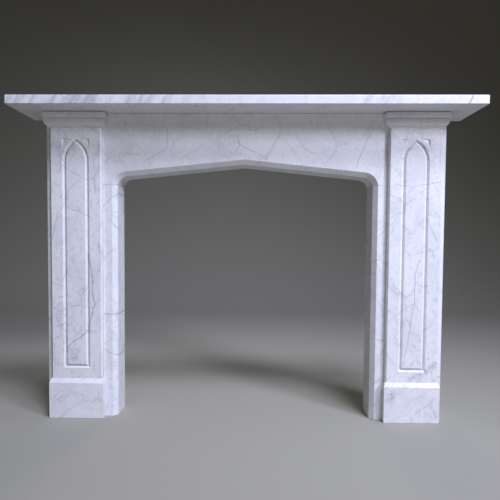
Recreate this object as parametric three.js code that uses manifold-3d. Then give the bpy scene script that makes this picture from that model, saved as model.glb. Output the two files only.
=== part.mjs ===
// A white marble fireplace mantel with a low pointed arch and two carved pilasters.
// Millimetres, +Z up, the front faces -Y. The origin is on the floor, under the middle of the
// outline, so the floor is z = 0 and the flat back lies in the plane y = BACK_Y.
import * as THREE from "three";
import { mergeVertices } from "three/addons/utils/BufferGeometryUtils.js";
import Module from "manifold-3d";

const wasm = await Module();
wasm.setup();

// Overall size
const SHELF_LENGTH = 1620;
const SHELF_DEPTH = 222;
const SHELF_THICKNESS = 30;
const SHELF_ARRIS = 2.5;
const OVERALL_HEIGHT = 1140;
const BODY_WIDTH = 1438;
const GAP = 0.3;

// Depths, measured back from the front edge of the shelf
const CAPITAL_SETBACK = 84;
const PILASTER_SETBACK = 103;
const PLINTH_SETBACK = 93;
const FACE_SETBACK = 120;

// Fire opening
const OPENING_WIDTH = 930;
const SPRINGING_HEIGHT = 855;
const SHOULDER_HEIGHT = 882;
const APEX_HEIGHT = 930;
const SHOULDER_RADIUS = 36;
const OPENING_CHAMFER = 16;
const FRIEZE_HALF_LENGTH = 545;

// Pilasters, with their plinths and capitals
const PILASTER_CENTRE = 608;
const PILASTER_WIDTH = 190;
const PILASTER_CHAMFER = 6;
const PLINTH_HEIGHT = 145;
const PLINTH_BEVEL_HEIGHT = 15;
const PLINTH_BEVEL_DEPTH = 9;
const PLINTH_MARGIN = 5;
const CAPITAL_HEIGHT = 55;
const CAPITAL_LOWER_HEIGHT = 31;
const CAPITAL_FILLET = 4;
const CAPITAL_OVOLO = 16;
const CAPITAL_CHEEK = 12;

// Sunk panel of each pilaster: a V groove with a pointed head, and two chip-cut spandrels
const PANEL_WIDTH = 82;
const PANEL_BOTTOM = 191;
const PANEL_TOP = 1008;
const GROOVE_HALF_WIDTH = 8;
const GROOVE_DEPTH = 6;
const SPANDREL_MARGIN = 9;
const SPANDREL_DEPTH = 6;
const HEAD_STEPS = 10;
const SHOULDER_STEPS = 6;

// Small loss at the outer foot of the right plinth
const CHIP_WIDTH = 3.5;
const CHIP_HEIGHT = 13;
const CHIP_DEPTH = 16;

const BACK_Y = SHELF_DEPTH / 2;
const FRONT_Y = -BACK_Y;
const FACE_Y = FRONT_Y + FACE_SETBACK;
const PILASTER_Y = FRONT_Y + PILASTER_SETBACK;
const PLINTH_Y = FRONT_Y + PLINTH_SETBACK;
const CAPITAL_Y = FRONT_Y + CAPITAL_SETBACK;
const APPLIED_BACK_Y = FACE_Y - GAP;
const SHELF_UNDERSIDE = OVERALL_HEIGHT - SHELF_THICKNESS;
const BODY_TOP = SHELF_UNDERSIDE - GAP;
const CAPITAL_BASE = SHELF_UNDERSIDE - CAPITAL_HEIGHT;

// Solids, kept as closed meshes of shared vertices

function solid(geometry) {
  const bare = geometry.clone();
  bare.deleteAttribute("normal");
  bare.deleteAttribute("uv");
  const merged = mergeVertices(bare, 1e-4);
  return new wasm.Manifold(
    new wasm.Mesh({
      numProp: 3,
      vertProperties: new Float32Array(merged.attributes.position.array),
      triVerts: new Uint32Array(merged.index.array),
    }),
  );
}

function geometryOf(body) {
  const mesh = body.getMesh();
  const geometry = new THREE.BufferGeometry();
  geometry.setAttribute("position", new THREE.BufferAttribute(mesh.vertProperties, 3));
  geometry.setIndex(new THREE.BufferAttribute(mesh.triVerts, 1));
  const flat = geometry.toNonIndexed();
  flat.computeVertexNormals();
  return flat;
}

function fromTriangles(points, triangles) {
  const geometry = new THREE.BufferGeometry().setFromPoints(points);
  geometry.setIndex(triangles);
  return solid(geometry);
}

// Skin over a stack of rings with equal counts of corners, closed by a flat cap at each end.
// flatten turns a corner into a 2-D point as seen from the last ring's side, where the rings
// run anticlockwise.
function loft(rings, flatten) {
  const count = rings[0].length;
  const triangles = [];
  for (let r = 0; r + 1 < rings.length; r++) {
    for (let i = 0; i < count; i++) {
      const a = r * count + i;
      const b = r * count + ((i + 1) % count);
      triangles.push(a, b, b + count, a, b + count, a + count);
    }
  }
  const last = (rings.length - 1) * count;
  for (const [a, b, c] of THREE.ShapeUtils.triangulateShape(rings[0].map(flatten), [])) {
    triangles.push(c, b, a, last + a, last + b, last + c);
  }
  return fromTriangles(rings.flat(), triangles);
}

const fromAbove = (p) => new THREE.Vector2(p.x, p.y);
const fromBehind = (p) => new THREE.Vector2(-p.x, p.z);

// Anticlockwise rectangle at height z, seen from above
function rectangle(x0, x1, y0, y1, z) {
  return [
    new THREE.Vector3(x0, y0, z),
    new THREE.Vector3(x1, y0, z),
    new THREE.Vector3(x1, y1, z),
    new THREE.Vector3(x0, y1, z),
  ];
}

// Upright prism over a plan outline, given anticlockwise as [x, y] pairs
function upright(plan, z0, z1) {
  const ring = (z) => plan.map(([x, y]) => new THREE.Vector3(x, y, z));
  return loft([ring(z0), ring(z1)], fromAbove);
}

// Shelf: one square-edged slab with its front and end arrises eased

function shelf() {
  const half = SHELF_LENGTH / 2;
  const ring = (inset, z) =>
    rectangle(-half + inset, half - inset, FRONT_Y + inset, BACK_Y, z);
  return loft(
    [
      ring(SHELF_ARRIS, SHELF_UNDERSIDE),
      ring(0, SHELF_UNDERSIDE + SHELF_ARRIS),
      ring(0, OVERALL_HEIGHT - SHELF_ARRIS),
      ring(SHELF_ARRIS, OVERALL_HEIGHT),
    ],
    fromAbove,
  );
}

// Frieze: a header whose underside is the arch, two straight slopes between round shoulders

// Outline of the opening moved outwards by grow, from the left foot over the arch to the right
function openingOutline(grow, footZ) {
  const reach = OPENING_WIDTH / 2;
  const slope = Math.atan2(APEX_HEIGHT - SHOULDER_HEIGHT, reach);
  const shoulderX = reach - SHOULDER_RADIUS;
  const lineAtShoulder = SHOULDER_HEIGHT + SHOULDER_RADIUS * Math.tan(slope);
  const shoulderZ = lineAtShoulder - SHOULDER_RADIUS / Math.cos(slope);
  const radius = SHOULDER_RADIUS + grow;
  const right = [[reach + grow, footZ]];
  for (let i = 0; i <= SHOULDER_STEPS; i++) {
    const turn = ((Math.PI / 2 - slope) * i) / SHOULDER_STEPS;
    right.push([shoulderX + radius * Math.cos(turn), shoulderZ + radius * Math.sin(turn)]);
  }
  const left = right.map(([x, z]) => [-x, z]);
  return [...left, [0, APEX_HEIGHT + grow / Math.cos(slope)], ...right.reverse()];
}

function frieze() {
  const ring = (grow, y) =>
    openingOutline(grow, SPRINGING_HEIGHT - 60).map(([x, z]) => new THREE.Vector3(x, y, z));
  const forward = 4;
  const opening = loft(
    [
      ring(OPENING_CHAMFER + forward, FACE_Y - forward),
      ring(0, FACE_Y + OPENING_CHAMFER),
      ring(0, BACK_Y + forward),
    ],
    fromBehind,
  );
  const block = upright(
    [
      [-FRIEZE_HALF_LENGTH, FACE_Y],
      [FRIEZE_HALF_LENGTH, FACE_Y],
      [FRIEZE_HALF_LENGTH, BACK_Y],
      [-FRIEZE_HALF_LENGTH, BACK_Y],
    ],
    SPRINGING_HEIGHT + GAP,
    BODY_TOP,
  );
  return block.subtract(opening);
}

// Leg: the upright behind a pilaster, wider below the springing, where it lines the opening.
// side is +1 on the right and -1 on the left, and mirrors the plan.

function mirrored(plan, side) {
  const turned = plan.map(([x, y]) => [side * x, y]);
  return side > 0 ? turned : turned.reverse();
}

function leg(side) {
  const inner = OPENING_WIDTH / 2;
  const outer = BODY_WIDTH / 2;
  const foot = mirrored(
    [
      [inner + OPENING_CHAMFER, FACE_Y],
      [outer, FACE_Y],
      [outer, BACK_Y],
      [inner, BACK_Y],
      [inner, FACE_Y + OPENING_CHAMFER],
    ],
    side,
  );
  const head = mirrored(
    [
      [FRIEZE_HALF_LENGTH + GAP, FACE_Y],
      [outer, FACE_Y],
      [outer, BACK_Y],
      [FRIEZE_HALF_LENGTH + GAP, BACK_Y],
    ],
    side,
  );
  return upright(foot, 0, SPRINGING_HEIGHT).add(upright(head, SPRINGING_HEIGHT - 10, BODY_TOP));
}

// Pilaster: a slab with chamfered edges and a sunk panel, applied to the face of its leg.
// Each pilaster piece is built about x = 0 and moved to its own centre by its mesh.

// Pointed outline on the groove's centre line, moved outwards by grow: a square foot and an
// equilateral head, whose two arcs are struck from the springing points opposite
function panelOutline(grow) {
  const half = PANEL_WIDTH / 2;
  const springing = PANEL_TOP - PANEL_WIDTH * Math.sin(Math.PI / 3);
  const radius = PANEL_WIDTH + grow;
  const crown = Math.acos(half / radius);
  const right = [[half + grow, PANEL_BOTTOM - grow]];
  for (let i = 0; i < HEAD_STEPS; i++) {
    const turn = (crown * i) / HEAD_STEPS;
    right.push([radius * Math.cos(turn) - half, springing + radius * Math.sin(turn)]);
  }
  const left = right.map(([x, z]) => [-x, z]).reverse();
  return [...right, [0, springing + radius * Math.sin(crown)], ...left];
}

function panelGroove() {
  const lift = 1;
  const spread = GROOVE_HALF_WIDTH * (1 + lift / GROOVE_DEPTH);
  const rail = (grow, y) => panelOutline(grow).map(([x, z]) => new THREE.Vector3(x, y, z));
  const rails = [
    rail(-spread, PILASTER_Y - lift),
    rail(0, PILASTER_Y + GROOVE_DEPTH),
    rail(spread, PILASTER_Y - lift),
  ];
  const count = rails[0].length;
  const triangles = [];
  for (let r = 0; r < 3; r++) {
    for (let i = 0; i < count; i++) {
      const next = (i + 1) % count;
      const here = r * count;
      const there = ((r + 1) % 3) * count;
      triangles.push(here + i, here + next, there + next, here + i, there + next, there + i);
    }
  }
  return fromTriangles(rails.flat(), triangles);
}

// Sunk triangle between the arch and the square corner of the panel, cut down to one point
function spandrel(side) {
  const half = PANEL_WIDTH / 2;
  const springing = PANEL_TOP - PANEL_WIDTH * Math.sin(Math.PI / 3);
  const edge = half + GROOVE_HALF_WIDTH;
  const outerArc = PANEL_WIDTH + GROOVE_HALF_WIDTH;
  const top = Math.sqrt(outerArc ** 2 - half ** 2);
  const radius = outerArc + SPANDREL_MARGIN;
  const from = Math.acos((edge + half) / radius);
  const to = Math.asin(top / radius);
  const outline = [[edge, top]];
  for (let i = HEAD_STEPS; i >= 0; i--) {
    const turn = from + ((to - from) * i) / HEAD_STEPS;
    outline.push([radius * Math.cos(turn) - half, radius * Math.sin(turn)]);
  }
  const topInner = outline[1][0];
  const lowest = outline[outline.length - 1][1];
  const deepest = [(2 * edge + topInner) / 3, (2 * top + lowest) / 3];
  const lift = 1;
  const widen = 1 + lift / SPANDREL_DEPTH;
  const rim = outline.map(
    ([x, z]) =>
      new THREE.Vector3(
        side * (deepest[0] + (x - deepest[0]) * widen),
        PILASTER_Y - lift,
        springing + deepest[1] + (z - deepest[1]) * widen,
      ),
  );
  if (side > 0) rim.reverse();
  const tip = new THREE.Vector3(
    side * deepest[0],
    PILASTER_Y + SPANDREL_DEPTH,
    springing + deepest[1],
  );
  const triangles = [];
  rim.forEach((_, i) => triangles.push(i, (i + 1) % rim.length, rim.length));
  for (const [a, b, c] of THREE.ShapeUtils.triangulateShape(rim.map(fromBehind), [])) {
    triangles.push(c, b, a);
  }
  return fromTriangles([...rim, tip], triangles);
}

function pilaster() {
  const half = PILASTER_WIDTH / 2;
  const slab = upright(
    [
      [-half, PILASTER_Y + PILASTER_CHAMFER],
      [-half + PILASTER_CHAMFER, PILASTER_Y],
      [half - PILASTER_CHAMFER, PILASTER_Y],
      [half, PILASTER_Y + PILASTER_CHAMFER],
      [half, APPLIED_BACK_Y],
      [-half, APPLIED_BACK_Y],
    ],
    PLINTH_HEIGHT + GAP,
    CAPITAL_BASE - GAP,
  );
  return slab.subtract(panelGroove()).subtract(spandrel(1)).subtract(spandrel(-1));
}

// Capital: a round cheek over an ovolo, returned on both sides of the pilaster

function capital() {
  const half = PILASTER_WIDTH / 2;
  const reach = PILASTER_Y - CAPITAL_Y;
  const ring = (out, z) =>
    rectangle(-half - out, half + out, PILASTER_Y - out, APPLIED_BACK_Y, CAPITAL_BASE + z);
  const rings = [ring(CAPITAL_FILLET / 2, 0), ring(CAPITAL_FILLET / 2, CAPITAL_FILLET)];
  const ovoloRise = CAPITAL_LOWER_HEIGHT - CAPITAL_FILLET;
  const ovoloReach = CAPITAL_OVOLO - CAPITAL_FILLET / 2;
  for (let i = 1; i <= 6; i++) {
    const turn = (Math.PI / 2) * (i / 6);
    rings.push(
      ring(
        CAPITAL_FILLET / 2 + ovoloReach * Math.sin(turn),
        CAPITAL_LOWER_HEIGHT - ovoloRise * Math.cos(turn),
      ),
    );
  }
  const cheekRise = (CAPITAL_HEIGHT - GAP - CAPITAL_LOWER_HEIGHT) / 2;
  for (let i = 1; i <= 8; i++) {
    const turn = Math.PI * (i / 8 - 0.5);
    rings.push(
      ring(
        CAPITAL_CHEEK + (reach - CAPITAL_CHEEK) * Math.cos(turn),
        CAPITAL_LOWER_HEIGHT + cheekRise * (1 + Math.sin(turn)),
      ),
    );
  }
  return loft(rings, fromAbove);
}

// Plinth: the foot block, wider and prouder than the pilaster, with a bevelled top

function plinth() {
  const half = PILASTER_WIDTH / 2 + PLINTH_MARGIN;
  const ring = (inset, setback, z) =>
    rectangle(-half + inset, half - inset, PLINTH_Y + setback, APPLIED_BACK_Y, z);
  return loft(
    [
      ring(0, 0, 0),
      ring(0, 0, PLINTH_HEIGHT - PLINTH_BEVEL_HEIGHT),
      ring(PLINTH_MARGIN, PLINTH_BEVEL_DEPTH, PLINTH_HEIGHT),
    ],
    fromAbove,
  );
}

// Loss at the foot of the outer front arris, wide at the floor and running out above
function chippedPlinth() {
  const cornerX = PILASTER_WIDTH / 2 + PLINTH_MARGIN;
  const over = 1;
  const chip = fromTriangles(
    [
      new THREE.Vector3(cornerX - CHIP_WIDTH, PLINTH_Y - over, -over),
      new THREE.Vector3(cornerX + over, PLINTH_Y - over, -over),
      new THREE.Vector3(cornerX + over, PLINTH_Y + CHIP_DEPTH, -over),
      new THREE.Vector3(cornerX + over, PLINTH_Y - over, CHIP_HEIGHT),
    ],
    [0, 2, 1, 0, 1, 3, 1, 2, 3, 0, 3, 2],
  );
  return plinth().subtract(chip);
}

// The assembled mantel

function marble(color) {
  return new THREE.MeshStandardMaterial({ color, roughness: 0.28, metalness: 0 });
}

function piece(name, body, color) {
  const mesh = new THREE.Mesh(geometryOf(body), marble(color));
  mesh.name = name;
  return mesh;
}

const mantel = new THREE.Group();
mantel.add(piece("shelf", shelf(), 0xe4e6ee), piece("frieze", frieze(), 0xd8dae0));

for (const [word, side] of [["left", -1], ["right", 1]]) {
  mantel.add(piece(word + "_leg", leg(side), 0xd9dbe1));
  const upright = new THREE.Group();
  upright.position.x = side * PILASTER_CENTRE;
  upright.add(
    piece(word + "_pilaster", pilaster(), 0xdcdee6),
    piece(word + "_capital", capital(), 0xd6d8de),
    piece(word + "_plinth", side > 0 ? chippedPlinth() : plinth(), 0xdcdee6),
  );
  mantel.add(upright);
}

export default mantel;
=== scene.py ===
# A white marble fireplace mantel, put together around its measured frame: room, shelf, frieze,
# legs, pilasters, capitals and plinths. Metres, +Z up, the front faces -Y.
from math import atan2, cos, pi, radians, sin, sqrt, tan

import bmesh
import bpy
from mathutils import Matrix, Vector


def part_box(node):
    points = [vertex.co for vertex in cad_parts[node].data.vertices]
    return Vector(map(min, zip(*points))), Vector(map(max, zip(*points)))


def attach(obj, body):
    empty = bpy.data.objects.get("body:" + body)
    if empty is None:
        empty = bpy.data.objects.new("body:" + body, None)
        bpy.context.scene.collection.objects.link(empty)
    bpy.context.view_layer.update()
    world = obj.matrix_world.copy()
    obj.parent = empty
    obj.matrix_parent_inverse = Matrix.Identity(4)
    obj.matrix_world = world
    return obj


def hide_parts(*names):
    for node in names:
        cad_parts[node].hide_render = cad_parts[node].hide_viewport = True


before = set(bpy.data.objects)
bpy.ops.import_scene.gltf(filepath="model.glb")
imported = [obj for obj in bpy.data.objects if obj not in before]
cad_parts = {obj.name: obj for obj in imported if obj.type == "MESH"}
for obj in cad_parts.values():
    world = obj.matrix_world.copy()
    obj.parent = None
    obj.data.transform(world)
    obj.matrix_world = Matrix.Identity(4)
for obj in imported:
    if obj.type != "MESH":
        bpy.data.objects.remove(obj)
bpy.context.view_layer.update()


# The room: a plain pale floor that turns up into a backdrop, a large soft lamp high in front and
# a second one from the right, two weak ones before and behind, and a camera that stands at
# about half the height of the mantel and looks at its front.
def place_lamp(name, spot, target, side, spread, power, colour):
    lamp = bpy.data.lights.new(name, "AREA")
    lamp.shape, lamp.size, lamp.spread = "DISK", side, radians(spread)
    lamp.energy, lamp.color = power, colour
    holder = bpy.data.objects.new(name, lamp)
    holder.location = spot
    holder.rotation_euler = (Vector(target) - Vector(spot)).to_track_quat("-Z", "Y").to_euler()
    holder.visible_camera = False
    bpy.context.collection.objects.link(holder)


COOL, WARM = (0.745, 0.78, 1.0), (1.0, 0.97, 0.90)
place_lamp("high_lamp", (1.5, -3.0, 6.1), (0.2, 0, 0.8), 2.0, 80, 72, COOL)
place_lamp("front_lamp", (2.7, -2.2, 2.4), (0.15, 0, 0.45), 1.0, 90, 29, COOL)
place_lamp("fill_lamp", (0.2, -3.6, 0.7), (0, 0, 1.0), 1.2, 120, 4.5, WARM)
place_lamp("back_lamp", (0.3, 4.0, 3.0), (0, 0.1, 1.0), 1.2, 60, 4, WARM)

room_light = bpy.data.worlds.new("room_light")
room_light.use_nodes = True
glow = room_light.node_tree.nodes["Background"].inputs
glow["Color"].default_value, glow["Strength"].default_value = (1.0, 0.98, 0.93, 1), 0.07
bpy.context.scene.world = room_light
bpy.context.scene.view_settings.view_transform = "Standard"

FLOOR_WIDTH, FLOOR_DEPTH, FLOOR_MIDDLE = 80.0, 13.0, (0, -2.0, -0.0005)
BACKDROP_HEIGHT, COVE_RADIUS, COVE_STEPS = 6.0, 2.0, 16
back_edge = FLOOR_DEPTH / 2 - 0.5
bpy.ops.object.select_all(action="DESELECT")
bpy.ops.mesh.primitive_plane_add(size=1, location=FLOOR_MIDDLE)
floor = bpy.context.object
floor.name = floor.data.name = "floor"
bpy.ops.object.mode_set(mode="EDIT")
bpy.ops.transform.resize(value=(FLOOR_WIDTH, FLOOR_DEPTH, 1), center_override=FLOOR_MIDDLE)
bpy.ops.mesh.select_mode(type="EDGE")
bpy.ops.mesh.select_all(action="DESELECT")
floor_mesh = bmesh.from_edit_mesh(floor.data)
for edge in floor_mesh.edges:
    edge.select_set(all(corner.co.y > back_edge for corner in edge.verts))
bmesh.update_edit_mesh(floor.data)
bpy.ops.mesh.extrude_region_move(TRANSFORM_OT_translate={"value": (0, 0, BACKDROP_HEIGHT)})
bpy.ops.mesh.select_all(action="DESELECT")
floor_mesh = bmesh.from_edit_mesh(floor.data)
for edge in floor_mesh.edges:
    edge.select_set(all(corner.co.y > back_edge and corner.co.z < 1 for corner in edge.verts))
bmesh.update_edit_mesh(floor.data)
bpy.ops.mesh.bevel(offset=COVE_RADIUS, segments=COVE_STEPS, affect="EDGES")
bpy.ops.object.mode_set(mode="OBJECT")
bpy.ops.object.transform_apply(location=True, rotation=True, scale=True)
bpy.ops.object.shade_smooth()
paint = bpy.data.materials.new("floor_paint")
paint.use_nodes = True
painted = paint.node_tree.nodes["Principled BSDF"].inputs
painted["Base Color"].default_value, painted["Roughness"].default_value = (0.34, 0.33, 0.28, 1), 0.9
floor.data.materials.append(paint)

CAMERA_SPOT = (0.0333, -1.6674, 0.6505)
CAMERA_YAW, CAMERA_PITCH, CAMERA_ROLL = -0.0216, -0.0418, 0.0072
view = bpy.data.cameras.new("camera")
view.sensor_width, view.lens = 36, 33.21
view.shift_x, view.shift_y = 0.014, 0.0216
camera = bpy.data.objects.new("camera", view)
camera.matrix_world = (
    Matrix.Translation(CAMERA_SPOT)
    @ Matrix.Rotation(-CAMERA_YAW, 4, "Z")
    @ Matrix.Rotation(pi / 2 + CAMERA_PITCH, 4, "X")
    @ Matrix.Rotation(CAMERA_ROLL, 4, "Z")
)
bpy.context.collection.objects.link(camera)
bpy.context.scene.camera = camera


# The shelf: one square-edged slab of veined white marble, sawn at the back, polished elsewhere,
# its arrises rubbed round. It is bedded flat on the frieze, the legs and the two capitals.
ALIGNED, NEAR, SHARP = 0.9, 0.001, 24


def block(name, low, high):
    """A squared block between two corners, alone in the selection, its place in its mesh."""
    low, high = Vector(low), Vector(high)
    bpy.ops.object.select_all(action="DESELECT")
    bpy.ops.mesh.primitive_cube_add(size=1, location=(low + high) / 2, scale=high - low)
    bpy.ops.object.transform_apply(location=True, rotation=True, scale=True)
    stone = bpy.context.object
    stone.name = stone.data.name = name
    return stone


def pick(kind, test):
    """In edit mode, select the points, edges or faces whose middle and way pass the test."""
    stone = bpy.context.object
    if stone.mode == "OBJECT":
        bpy.ops.object.mode_set(mode="EDIT")
    bpy.ops.mesh.select_mode(type=kind)
    bpy.ops.mesh.select_all(action="DESELECT")
    mesh = bmesh.from_edit_mesh(stone.data)
    for part in {"VERT": mesh.verts, "EDGE": mesh.edges, "FACE": mesh.faces}[kind]:
        corners = [part.co] if kind == "VERT" else [corner.co for corner in part.verts]
        way = (corners[1] - corners[0]).normalized() if kind == "EDGE" else part.normal
        if test(sum(corners, Vector()) / len(corners), way):
            part.select_set(True)
    bmesh.update_edit_mesh(stone.data)


def apply(stone, modifier):
    bpy.context.view_layer.objects.active = stone
    bpy.ops.object.modifier_apply(modifier=modifier.name)


def rub_down(stone, radius, steps=2):
    """Round off what sharp arrises are left, and shade the flats flat."""
    bpy.ops.object.mode_set(mode="OBJECT")
    bpy.ops.object.select_all(action="DESELECT")
    stone.select_set(True)
    arris = stone.modifiers.new("arris", "BEVEL")
    arris.width, arris.segments = radius, steps
    arris.limit_method, arris.angle_limit = "ANGLE", radians(SHARP)
    apply(stone, arris)
    bpy.ops.object.shade_smooth_by_angle(angle=radians(40))
    flats = stone.modifiers.new("flats", "WEIGHTED_NORMAL")
    flats.keep_sharp = True
    apply(stone, flats)


class Shade:
    """A socket in a stone's shader, which adds and multiplies as a number does."""

    def __init__(self, tree, socket=None):
        self.tree, self.socket = tree, socket

    def node(self, kind, settings, sockets, output=0):
        made = self.tree.nodes.new(kind)
        for name, value in settings.items():
            setattr(made, name, value)
        for name, value in sockets.items():
            if isinstance(value, Shade):
                self.tree.links.new(value.socket, made.inputs[name])
            else:
                made.inputs[name].default_value = value
        return Shade(self.tree, made.outputs[output])

    def maths(self, operation, *terms):
        return self.node("ShaderNodeMath", {"operation": operation}, dict(enumerate(terms)))

    def vector(self, operation, *terms, output=0):
        settings = {"operation": operation}
        return self.node("ShaderNodeVectorMath", settings, dict(enumerate(terms)), output)

    def __add__(self, other):
        return self.maths("ADD", self, other)

    def __sub__(self, other):
        return self.maths("SUBTRACT", self, other)

    def __rsub__(self, other):
        return self.maths("SUBTRACT", other, self)

    def __mul__(self, other):
        return self.maths("MULTIPLY", self, other)

    __radd__, __rmul__ = __add__, __mul__

    def over(self, other):
        """The stronger of two markings."""
        return self.maths("MAXIMUM", self, other)

    def between(self, low, high):
        """0 below low, 1 above high, and a soft step from one to the other."""
        return self.node(
            "ShaderNodeMapRange",
            {"interpolation_type": "SMOOTHSTEP"},
            {"Value": self, "From Min": low, "From Max": high},
        )

    def noise(self, scale, detail=4.0, roughness=0.55, output="Fac"):
        return self.node(
            "ShaderNodeTexNoise",
            {},
            {"Vector": self, "Scale": scale, "Detail": detail, "Roughness": roughness},
            output,
        )

    def stirred(self, scale, detail, reach):
        """This place, pushed about by noise."""
        return self.vector("MULTIPLY_ADD", self.noise(scale, detail, output="Color"), reach, self)

    def tinted(self, colour, amount):
        """This colour, turned towards another by an amount."""
        return amount.blend(self, colour)

    def blend(self, first, second):
        """The first colour where this is 0, and the second where it is 1."""
        pair = [end if isinstance(end, Shade) else (*end, 1) for end in (first, second)]
        sockets = {0: self, 6: pair[0], 7: pair[1]}
        return self.node("ShaderNodeMix", {"data_type": "RGBA"}, sockets, 2)


shelf_low, shelf_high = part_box("shelf")
WHITE, CLOUD, VEIN = (0.84, 0.84, 0.86), (0.62, 0.63, 0.69), (0.33, 0.33, 0.39)
DEEP_GREY, SAWN = (0.45, 0.45, 0.44), (0.55, 0.55, 0.55)
SAWN_Y, PATCHY = shelf_high.y - NEAR, 0.008
BAND_LEAN, BAND_STRETCH = radians(-32), (38.0, 3.0, 5.0)


def trace(plane, points, width):
    """A vein drawn across the face of a stone through these (x, z) places."""
    vein = None
    for (x0, z0), (x1, z1) in zip(points, points[1:]):
        way = Vector((x1 - x0, 0, z1 - z0))
        here = plane.vector("SUBTRACT", plane, (x0, 0, z0))
        run = here.vector("DOT_PRODUCT", here, way.normalized(), output="Value")
        run = run.maths("MINIMUM", run.maths("MAXIMUM", run, 0.0), way.length)
        nearest = run.node(
            "ShaderNodeVectorMath", {"operation": "SCALE"}, {0: way.normalized(), "Scale": run}
        )
        off = here.vector("DISTANCE", here, nearest, output="Value")
        line = 1 - off.between(0.0, width)
        vein = line if vein is None else vein.over(line)
    return vein


def marble(
    name, shift, turn, cell=0.095, cracks=0.5, clouds=0.85, sunk=None, edge=None, streaks=()
):
    """Polished white marble: a broken net of grey hairlines, wandering veins, mottled clouds,
    and, where they are asked for, a duller finish in what is sunk below a face, greyer towards
    the bottoms of those hollows, slanting bands along a front edge, and chosen veins. The back is
    sawn."""
    stone = bpy.data.materials.new(name)
    stone.use_nodes = True
    tree = stone.node_tree
    face = tree.nodes["Principled BSDF"]
    place = Shade(tree).node("ShaderNodeTexCoord", {}, {}, "Object")
    bed = place.node(
        "ShaderNodeMapping",
        {},
        {"Vector": place, "Location": shift, "Rotation": turn, "Scale": (1.0, 1.0, 0.8)},
    )
    folded = bed.stirred(4.0, 2.0, (0.12, 0.12, 0.12)).stirred(20.0, 4.0, (0.018, 0.018, 0.018))

    def net(size, width, low, high):
        """Hairlines round the cells of a broken net, each in places thick, thin or gone."""
        edge = folded.node(
            "ShaderNodeTexVoronoi",
            {"feature": "DISTANCE_TO_EDGE"},
            {"Vector": folded, "Scale": 1 / size},
            "Distance",
        )
        shown = bed.noise(1.6 / size, 3.0, 0.7).between(low, high)
        thick = bed.noise(5.0 / size, 2.0) * (2.6 * width / size)
        core, halo = 1 - edge.between(0.0, thick), 1 - edge.between(0.0, 6 * width / size)
        return shown * (core * 0.75 + halo * 0.25)

    veins = net(cell, 0.0020, 0.44, 0.60).over(net(cell * 0.45, 0.0014, 0.48, 0.62) * 0.8)
    veins = veins.over(net(cell * 0.2, 0.0011, 0.52, 0.68) * 0.5)
    drift = folded.noise(3.4, 5.0, 0.6) - 0.5
    wander = 1 - drift.maths("ABSOLUTE", drift).between(0.0, 0.011)
    veins = veins.over(wander * bed.noise(4.2, 2.0).between(0.46, 0.62) * 0.8) * cracks
    depth = place.node("ShaderNodeSeparateXYZ", {}, {"Vector": place}, "Y")
    front = 1 if edge is None else 1 - depth.between(edge + 0.003, edge + 0.007)
    if streaks:
        flat = place.vector("MULTIPLY", place, (1.0, 0.0, 1.0))
        bent = flat.stirred(14.0, 3.0, (0.014, 0.0, 0.014))
        jagged = bent.stirred(70.0, 4.0, (0.009, 0.0, 0.009))
        plane = flat.vector("SUBTRACT", jagged, (0.0115, 0.0, 0.0115))
        patch = flat.noise(90.0, 4.0, 0.7).between(0.38, 0.62)
        worn = flat.noise(30.0, 3.0, 0.6).between(0.28, 0.52) * 0.5 + 0.5
        for strength, width, points in streaks:
            line = trace(plane, points, width) * (patch if width > PATCHY else worn)
            veins = veins.over(line * strength * front)
    mottle = folded.noise(9.0, 8.0, 0.70).between(0.40, 0.68) * 0.6
    fleck = bed.stirred(60.0, 2.0, (0.012, 0.012, 0.012)).noise(110.0, 5.0, 0.75)
    speckled = fleck.between(0.46, 0.70) * bed.noise(6.0, 3.0).between(0.25, 0.60)
    shaded = mottle.over(speckled) * clouds
    colour = shaded.blend(WHITE, CLOUD).tinted(VEIN, veins)
    sawn = depth.between(SAWN_Y, SAWN_Y + 0.0005)
    dullness = bed.noise(14.0, 3.0) * 0.10 + veins * 0.15 + sawn * 0.4 + 0.24
    if edge is not None:
        leaning = place.node(
            "ShaderNodeMapping", {}, {"Vector": place, "Rotation": (0.0, BAND_LEAN, 0.0)}
        )
        drawn = leaning.vector("MULTIPLY", leaning, BAND_STRETCH)
        along = place.node("ShaderNodeSeparateXYZ", {}, {"Vector": place}, "X")
        banded = (1 - along.between(-0.40, -0.05)) * 0.46
        banded = banded.over((along.between(0.32, 0.38) - along.between(0.50, 0.58)) * 0.38)
        bands = drawn.noise(1.0, 5.0, 0.6).between(0.42, 0.66) * (banded + 0.06)
        colour = colour.tinted(VEIN, bands * front)
    if sunk is not None:
        # Deeper than 2.2 mm below the face, towards the bottoms of the grooves and chips, the
        # colour turns greyer.
        greyed_deep = depth.between(sunk + 0.0022, sunk + 0.006) * (1 - depth.between(0.006, 0.007))
        colour = colour.tinted(DEEP_GREY, greyed_deep * 0.4)
        dullness = dullness + depth.between(sunk + 0.0002, sunk + 0.0010) * 0.35
    colour = colour.tinted(SAWN, sawn * 0.5)
    tree.links.new(colour.socket, face.inputs["Base Color"])
    tree.links.new(dullness.socket, face.inputs["Roughness"])
    kerf = place.vector("MULTIPLY", place, (1.0, 1.0, 60.0)).noise(9.0, 2.0) * sawn
    grain = bed.noise(260.0, 3.0) * 0.5 - veins * 0.8 + kerf * 6.0
    bump = grain.node(
        "ShaderNodeBump", {}, {"Height": grain, "Strength": 0.12, "Distance": 0.0006}
    )
    tree.links.new(bump.socket, face.inputs["Normal"])
    return stone


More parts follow.
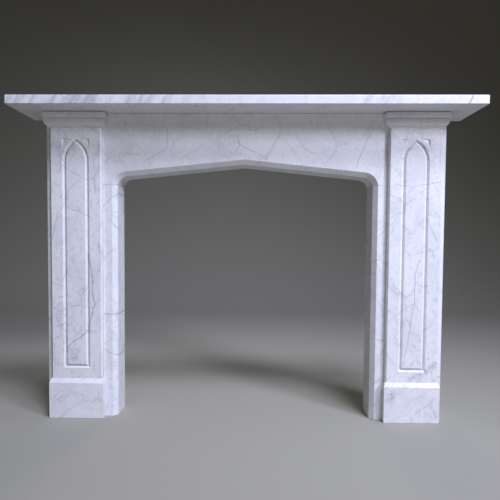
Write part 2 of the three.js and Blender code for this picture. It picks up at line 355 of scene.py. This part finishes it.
TOP_ARRIS, TOP_STEPS, ARRIS = 0.004, 4, 0.0018
shelf = block("shelf_slab", shelf_low, shelf_high)
shelf_middle = (shelf_low + shelf_high) / 2
pick(
    "EDGE",
    lambda middle, way: middle.y < shelf_high.y - NEAR
    and (middle.z > shelf_middle.z or abs(way.z) > ALIGNED),
)
bpy.ops.mesh.bevel(offset=TOP_ARRIS, segments=TOP_STEPS, affect="EDGES")
rub_down(shelf, ARRIS)
shelf.data.materials.append(
    marble(
        "shelf_stone",
        (0.3, 0.1, 0.7),
        (0.2, 0.5, 0.1),
        cracks=0.3,
        clouds=0.4,
        edge=shelf_low.y,
        streaks=(
            (0.60, 0.016, ((-0.606, 1.106), (-0.578, 1.146))),
            (0.65, 0.005, ((-0.586, 1.106), (-0.560, 1.146))),
            (0.40, 0.006, ((-0.538, 1.106), (-0.517, 1.146))),
            (0.30, 0.009, ((-0.490, 1.105), (-0.460, 1.148))),
            (0.35, 0.006, ((-0.356, 1.106), (-0.343, 1.146))),
            (0.40, 0.007, ((-0.275, 1.106), (-0.253, 1.146))),
            (0.95, 0.0055, ((0.743, 1.110), (0.752, 1.134))),
        ),
    )
)
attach(shelf, "root")
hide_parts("shelf")


# The frieze: one block with the low pointed arch cut through it, two straight slopes between
# round shoulders, and a broad chamfer along the front of the opening. It rests on the leg slips.
ARCH_WIDTH, ARCH_SHOULDER, ARCH_APEX = 0.930, 0.882, 0.930
SHOULDER_RADIUS, SHOULDER_STEPS, ARCH_CHAMFER, BLOCK_ARRIS = 0.036, 10, 0.016, 0.0012
OVERRUN, OPENING_FOOT, OPENING_TOP = 0.02, 0.7, 1.0
frieze_low, frieze_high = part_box("frieze")
slope = atan2(ARCH_APEX - ARCH_SHOULDER, ARCH_WIDTH / 2)

opening = block(
    "opening",
    (-ARCH_WIDTH / 2, frieze_low.y - OVERRUN, OPENING_FOOT),
    (ARCH_WIDTH / 2, frieze_high.y + OVERRUN, OPENING_TOP),
)
bpy.ops.object.mode_set(mode="EDIT")
for side in (-1, 1):
    bpy.ops.mesh.select_all(action="SELECT")
    bpy.ops.mesh.bisect(
        plane_co=(0, 0, ARCH_APEX),
        plane_no=(side * sin(slope), 0, cos(slope)),
        use_fill=True,
        clear_outer=True,
    )
pick(
    "EDGE",
    lambda middle, way: abs(way.y) > ALIGNED
    and abs(middle.x) > ARCH_WIDTH / 2 - NEAR
    and middle.z > OPENING_FOOT + NEAR,
)
bpy.ops.mesh.bevel(
    offset=SHOULDER_RADIUS * tan((pi / 2 - slope) / 2), segments=SHOULDER_STEPS, affect="EDGES"
)
bpy.ops.object.mode_set(mode="OBJECT")


def cut(stone, tool):
    """Take a tool's shape out of a stone, and put the tool away."""
    bpy.ops.object.mode_set(mode="OBJECT")
    hollow = stone.modifiers.new("hollow", "BOOLEAN")
    hollow.operation, hollow.solver, hollow.object = "DIFFERENCE", "EXACT", tool
    apply(stone, hollow)
    bpy.data.objects.remove(tool)


frieze = block("frieze_block", frieze_low, frieze_high)
cut(frieze, opening)
pick(
    "EDGE",
    lambda middle, way: middle.y < frieze_low.y + NEAR
    and abs(middle.x) < ARCH_WIDTH / 2 + NEAR
    and frieze_low.z + NEAR < middle.z < ARCH_APEX + NEAR,
)
bpy.ops.mesh.bevel(offset=ARCH_CHAMFER, segments=1, affect="EDGES")
rub_down(frieze, BLOCK_ARRIS)
frieze.data.materials.append(
    marble(
        "frieze_stone",
        (0.8, 0.4, 0.2),
        (0.7, 0.2, 0.5),
        cell=0.15,
        cracks=0.28,
        streaks=(
            (0.75, 0.0024, ((0.452, 1.049), (0.397, 0.913))),
            (0.70, 0.0028, ((0.134, 1.045), (0.074, 0.948))),
            (0.55, 0.0024, ((0.184, 1.034), (0.217, 0.981), (0.264, 0.966))),
            (0.65, 0.0028, ((-0.024, 1.026), (-0.017, 0.998), (-0.038, 0.962))),
            (0.60, 0.0024, ((-0.017, 0.998), (0.085, 0.948))),
            (0.55, 0.0024, ((-0.147, 0.997), (-0.230, 0.947))),
            (0.60, 0.0024, ((-0.277, 1.061), (-0.281, 0.983), (-0.368, 0.932))),
            (0.50, 0.0024, ((0.332, 0.977), (0.286, 0.924))),
            (0.50, 0.0024, ((-0.379, 0.961), (-0.452, 0.968), (-0.470, 0.928))),
        ),
    )
)
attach(frieze, "root")
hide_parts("frieze")


# The legs: two uprights that stand on the floor and carry the shelf. Below the springing each
# is wider and lines the opening as a slip, with the arch's chamfer run down its front arris.
BED_JOINT = 0.0003
LEG_VEINS = {
    -1: (
        (0.90, 0.0034, ((-0.519, 0.380), (-0.462, 0.381))),
        (0.80, 0.0030, ((-0.514, 0.249), (-0.458, 0.221))),
        (0.65, 0.0028, ((-0.526, 0.762), (-0.462, 0.828))),
    ),
    1: ((0.35, 0.0022, ((0.512, 0.620), (0.462, 0.560))),),
}
for side, word in ((-1, "left"), (1, "right")):
    low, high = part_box(f"{word}_leg")
    inner = low.x if side > 0 else high.x
    leg = block(f"{word}_leg_block", low, (high.x, high.y, frieze_low.z - BED_JOINT))
    bpy.ops.object.mode_set(mode="EDIT")
    bpy.ops.mesh.bisect(plane_co=(side * (frieze_high.x + BED_JOINT), 0, 0), plane_no=(1, 0, 0))
    pick("FACE", lambda middle, way: way.z > ALIGNED and abs(middle.x) > frieze_high.x)
    bpy.ops.mesh.extrude_region_move(
        TRANSFORM_OT_translate={"value": (0, 0, high.z - frieze_low.z + BED_JOINT)}
    )
    pick(
        "EDGE",
        lambda middle, way: abs(way.z) > ALIGNED
        and middle.y < low.y + NEAR
        and abs(middle.x - inner) < NEAR,
    )
    bpy.ops.mesh.bevel(offset=ARCH_CHAMFER, segments=1, affect="EDGES")
    rub_down(leg, BLOCK_ARRIS)
    leg.data.materials.append(
        marble(
            f"{word}_leg_stone",
            (0.1 + side * 0.3, 0.9, 0.4),
            (0.3, 0.9 * side, 0.2),
            streaks=LEG_VEINS[side],
        )
    )
    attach(leg, "root")
    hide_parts(f"{word}_leg")


# The pilasters: a chamfered slab fixed to the face of each leg. A V groove is cut round a tall
# panel with a pointed head, and the two spandrels over the head are chip-cut to a deep point.
PANEL_WIDTH, PANEL_FOOT, PANEL_TOP = 0.082, 0.191, 1.008
GROOVE_HALF, GROOVE_DEPTH, THROAT, THROAT_DEPTH = 0.008, 0.006, 0.42, 0.42
HEAD_SWEEP, HEAD_STEPS = radians(66), 33
SPANDREL_MARGIN, SPANDREL_DEPTH, DEEPEST, CUTTER_STEPS = 0.009, 0.005, 0.87, 180
PILASTER_CHAMFER, PILASTER_ARRIS, LIFT = 0.006, 0.0008, 0.001
HAIR, WELD = 0.0001, 0.00001
low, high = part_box("left_pilaster")
centre = (low.x + high.x) / 2
half = (high.x - low.x) / 2
face_y = low.y
springing = PANEL_TOP - PANEL_WIDTH * sin(pi / 3)

slab = block("pilaster_slab", (-half, low.y, low.z), (half, high.y, high.z))
pick("EDGE", lambda middle, way: abs(way.z) > ALIGNED and middle.y < face_y + NEAR)
bpy.ops.mesh.bevel(offset=PILASTER_CHAMFER, segments=1, affect="EDGES")
bpy.ops.object.mode_set(mode="OBJECT")

# The groove's section, an ogee-sided V, is swept round half of the head, down the side, and
# mitred at the foot, and the half is then mirrored.
spread = GROOVE_HALF * (1 + LIFT / GROOVE_DEPTH)
tip_y = face_y + GROOVE_DEPTH
bpy.ops.object.select_all(action="DESELECT")
bpy.ops.mesh.primitive_circle_add(
    vertices=5,
    radius=spread,
    fill_type="NGON",
    location=(PANEL_WIDTH / 2, tip_y - spread, springing),
)
bpy.ops.object.transform_apply(location=True, rotation=True, scale=True)
groove = bpy.context.object
for half_width, depth, start in (
    (spread, -LIFT, 4 * pi / 5),
    (THROAT * GROOVE_HALF, THROAT_DEPTH * GROOVE_DEPTH, 2 * pi / 5),
):
    row_y = tip_y - spread * (1 - cos(start))
    pick("VERT", lambda middle, way: abs(middle.y - row_y) < HAIR)
    bpy.ops.transform.resize(
        value=(half_width / (spread * sin(start)), 1, 1),
        center_override=(PANEL_WIDTH / 2, row_y, springing),
    )
    bpy.ops.transform.translate(value=(0, face_y + depth - row_y, 0))
bpy.ops.mesh.select_all(action="SELECT")
bpy.ops.mesh.spin(
    steps=HEAD_STEPS, angle=HEAD_SWEEP, center=(-PANEL_WIDTH / 2, 0, springing), axis=(0, 1, 0)
)
bpy.ops.mesh.select_all(action="SELECT")
bpy.ops.mesh.bisect(plane_co=(0, 0, 0), plane_no=(-1, 0, 0), clear_outer=True)
pick("FACE", lambda middle, way: abs(way.z) > ALIGNED and abs(middle.z - springing) < HAIR)
bpy.ops.mesh.extrude_region_move(
    TRANSFORM_OT_translate={"value": (0, 0, PANEL_FOOT - 3 * spread - springing)}
)
bpy.ops.mesh.select_all(action="SELECT")
bpy.ops.mesh.bisect(
    plane_co=(PANEL_WIDTH / 2, 0, PANEL_FOOT),
    plane_no=(sqrt(0.5), 0, sqrt(0.5)),
    use_fill=True,
    clear_inner=True,
)
pick("FACE", lambda middle, way: abs(abs(way.x) - abs(way.z)) < 0.01 and middle.z < PANEL_TOP / 2)
bpy.ops.mesh.extrude_region_move(TRANSFORM_OT_translate={"value": (-spread, 0, 0)})
bpy.ops.transform.resize(value=(0, 1, 1), center_override=(0, 0, 0))
pick("FACE", lambda middle, way: abs(middle.x) < WELD)
bpy.ops.mesh.delete(type="ONLY_FACE")
bpy.ops.object.mode_set(mode="OBJECT")
twin = groove.modifiers.new("twin", "MIRROR")
apply(groove, twin)
bpy.ops.object.mode_set(mode="EDIT")
bpy.ops.mesh.select_all(action="SELECT")
bpy.ops.mesh.remove_doubles(threshold=WELD)
bpy.ops.mesh.normals_make_consistent(inside=False)
cut(slab, groove)

# A spandrel is a three-cornered chip between the head and a square corner, deepest near the
# corner.
corner_x = PANEL_WIDTH / 2 + GROOVE_HALF
outer_arc = PANEL_WIDTH + GROOVE_HALF
corner_z = sqrt(outer_arc**2 - (PANEL_WIDTH / 2) ** 2)
chip_arc = outer_arc + SPANDREL_MARGIN
lowest_z = sqrt(chip_arc**2 - outer_arc**2)
inmost_x = sqrt(chip_arc**2 - corner_z**2) - PANEL_WIDTH / 2
inner_corner = Vector((inmost_x, 0, springing + lowest_z))
deepest = inner_corner.lerp(Vector((corner_x, 0, springing + corner_z)), DEEPEST)
spandrel = block(
    "spandrel",
    (0, face_y - LIFT, springing),
    (corner_x, face_y + SPANDREL_DEPTH, springing + corner_z),
)
bpy.ops.object.select_all(action="DESELECT")
bpy.ops.mesh.primitive_cylinder_add(
    vertices=CUTTER_STEPS,
    radius=chip_arc,
    depth=corner_x * 2,
    location=(-PANEL_WIDTH / 2, face_y, springing),
    rotation=(pi / 2, 0, 0),
)
cut(spandrel, bpy.context.object)
pick("FACE", lambda middle, way: way.y > ALIGNED)
bpy.ops.transform.resize(value=(0, 1, 0), center_override=deepest)
pick("FACE", lambda middle, way: way.y < -ALIGNED)
widen = 1 + LIFT / SPANDREL_DEPTH
bpy.ops.transform.resize(value=(widen, 1, widen), center_override=deepest)
bpy.ops.mesh.select_all(action="SELECT")
bpy.ops.mesh.remove_doubles(threshold=WELD)
bpy.ops.mesh.normals_make_consistent(inside=False)
bpy.ops.object.mode_set(mode="OBJECT")
twin = spandrel.modifiers.new("twin", "MIRROR")
apply(spandrel, twin)
cut(slab, spandrel)
rub_down(slab, PILASTER_ARRIS)

PILASTER_VEINS = {
    -1: (
        (0.95, 0.0034, ((-0.563, 0.600), (-0.549, 0.507), (-0.551, 0.470), (-0.540, 0.416))),
        (0.95, 0.0034, ((-0.540, 0.416), (-0.555, 0.368), (-0.567, 0.324), (-0.596, 0.294))),
        (0.85, 0.0032, ((-0.596, 0.294), (-0.634, 0.271), (-0.649, 0.241))),
        (0.55, 0.0024, ((-0.540, 0.416), (-0.518, 0.434))),
        (0.45, 0.0030, ((-0.673, 0.440), (-0.621, 0.455), (-0.580, 0.477))),
        (0.60, 0.0026, ((-0.649, 0.775), (-0.557, 0.735))),
        (0.60, 0.0026, ((-0.653, 0.918), (-0.567, 0.868))),
        (0.60, 0.0026, ((-0.677, 0.742), (-0.696, 0.651))),
    ),
    1: (
        (0.80, 0.0028, ((0.630, 0.589), (0.612, 0.539), (0.614, 0.435), (0.592, 0.280))),
        (0.65, 0.0026, ((0.592, 0.280), (0.578, 0.210))),
        (0.60, 0.0024, ((0.614, 0.435), (0.528, 0.372))),
        (0.60, 0.0024, ((0.539, 0.858), (0.599, 0.848), (0.700, 0.868))),
        (0.55, 0.0024, ((0.647, 0.742), (0.688, 0.661))),
        (0.75, 0.0160, ((0.605, 0.160), (0.657, 0.183), (0.692, 0.215))),
    ),
}
for side, word in ((-1, "left"), (1, "right")):
    bpy.ops.object.select_all(action="DESELECT")
    slab.select_set(True)
    bpy.context.view_layer.objects.active = slab
    bpy.ops.object.duplicate()
    pilaster = bpy.context.object
    pilaster.name = pilaster.data.name = f"{word}_pilaster_slab"
    bpy.ops.transform.translate(value=(-side * centre, 0, 0))
    bpy.ops.object.transform_apply(location=True, rotation=True, scale=True)
    pilaster.data.materials.append(
        marble(
            f"{word}_pilaster_stone",
            (0.5 * side, 0.3, 0.8),
            (0.1, 0.3 * side, 0.8),
            sunk=face_y,
            streaks=PILASTER_VEINS[side],
        )
    )
    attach(pilaster, "root")
    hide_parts(f"{word}_pilaster")
bpy.data.objects.remove(slab)


# The capitals: a moulding worked on one block and returned round the sides of each pilaster, a
# small fillet and an ovolo under a round cheek, which the shelf sits on.
FILLET, FILLET_OUT, OVOLO_OUT, OVOLO_TOP = 0.004, 0.0012, 0.0155, 0.0285
CHEEK_OUT, CHEEK_REACH, CAPITAL_ARRIS = 0.008, 0.019, 0.0005
OVOLO_STEPS, CHEEK_STEPS = 10, 14
low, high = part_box("left_capital")
back_y = high.y
profile = [(FILLET, FILLET_OUT)]
for step in range(1, OVOLO_STEPS + 1):
    turn = pi / 2 * step / OVOLO_STEPS
    profile.append(
        (
            OVOLO_TOP - (OVOLO_TOP - FILLET) * cos(turn),
            FILLET_OUT + (OVOLO_OUT - FILLET_OUT) * sin(turn),
        )
    )
cheek_half = (high.z - low.z - OVOLO_TOP) / 2
for step in range(CHEEK_STEPS + 1):
    turn = pi * (step / CHEEK_STEPS - 0.5)
    profile.append(
        (
            OVOLO_TOP + cheek_half * (1 + sin(turn)),
            CHEEK_OUT + (CHEEK_REACH - CHEEK_OUT) * cos(turn),
        )
    )
moulding = block(
    "capital_moulding",
    (-half - FILLET_OUT, face_y - FILLET_OUT, low.z),
    (half + FILLET_OUT, back_y, low.z + FILLET),
)
pick("FACE", lambda middle, way: way.z > ALIGNED)
rise, out = profile[0]
for next_rise, next_out in profile[1:]:
    bpy.ops.mesh.extrude_region_move(
        TRANSFORM_OT_translate={"value": (0, 0, next_rise - rise)}
    )
    bpy.ops.transform.resize(
        value=(
            (half + next_out) / (half + out),
            (back_y - face_y + next_out) / (back_y - face_y + out),
            1,
        ),
        center_override=(0, back_y, low.z + next_rise),
    )
    rise, out = next_rise, next_out
rub_down(moulding, CAPITAL_ARRIS)
for side, word in ((-1, "left"), (1, "right")):
    bpy.ops.object.select_all(action="DESELECT")
    moulding.select_set(True)
    bpy.context.view_layer.objects.active = moulding
    bpy.ops.object.duplicate()
    capital = bpy.context.object
    capital.name = capital.data.name = f"{word}_capital_moulding"
    bpy.ops.transform.translate(value=(-side * centre, 0, 0))
    bpy.ops.object.transform_apply(location=True, rotation=True, scale=True)
    capital.data.materials.append(
        marble(
            f"{word}_capital_stone",
            (0.2 * side, 0.6, 0.1),
            (0.5, 0.2 * side, 0.3),
            cracks=0.25,
        )
    )
    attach(capital, "root")
    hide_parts(f"{word}_capital")
bpy.data.objects.remove(moulding)


# The plinths: a foot block under each pilaster, wider and prouder than it, with a bevelled top.
# The outer front corner of the right one is chipped at the floor.
BEVEL_HEIGHT, BEVEL_DEPTH, PLINTH_MARGIN = 0.015, 0.009, 0.005
CHIP_WIDTH, CHIP_HEIGHT, CHIP_DEPTH = 0.0035, 0.013, 0.016
PLINTH_VEINS = {
    -1: (
        (0.45, 0.0090, ((-0.668, 0.062), (-0.624, 0.097), (-0.572, 0.083))),
        (0.35, 0.0085, ((-0.655, 0.012), (-0.613, 0.049), (-0.560, 0.070))),
    ),
    1: (
        (0.85, 0.0200, ((0.526, 0.082), (0.541, 0.108))),
        (0.45, 0.0026, ((0.585, 0.056), (0.613, 0.089), (0.641, 0.100))),
    ),
}
for side, word in ((-1, "left"), (1, "right")):
    low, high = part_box(f"{word}_plinth")
    middle_x = (low.x + high.x) / 2
    plinth = block(f"{word}_plinth_block", low, (high.x, high.y, high.z - BEVEL_HEIGHT))
    pick("FACE", lambda middle, way: way.z > ALIGNED)
    bpy.ops.mesh.extrude_region_move(TRANSFORM_OT_translate={"value": (0, 0, BEVEL_HEIGHT)})
    bpy.ops.transform.resize(
        value=(
            1 - 2 * PLINTH_MARGIN / (high.x - low.x),
            1 - BEVEL_DEPTH / (high.y - low.y),
            1,
        ),
        center_override=(middle_x, high.y, high.z),
    )
    if side > 0:
        corner = Vector((high.x, low.y, 0))
        outward = Vector((1 / CHIP_WIDTH, -1 / CHIP_DEPTH, -1 / CHIP_HEIGHT)).normalized()
        bpy.ops.mesh.select_all(action="SELECT")
        bpy.ops.mesh.bisect(
            plane_co=corner - Vector((CHIP_WIDTH, 0, 0)),
            plane_no=outward,
            use_fill=True,
            clear_outer=True,
        )
    rub_down(plinth, BLOCK_ARRIS)
    # clouds=1.0 gives the plinths a stronger mottle than the other stones, so they come out darker:
    # the mottle is the stone's own, and the extra darkness is painted shade at the foot.
    plinth.data.materials.append(
        marble(
            f"{word}_plinth_stone",
            (0.6, 0.2 * side, 0.5),
            (0.2 * side, 0.4, 0.6),
            clouds=1.0,
            streaks=PLINTH_VEINS[side],
        )
    )
    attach(plinth, "root")
    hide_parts(f"{word}_plinth")
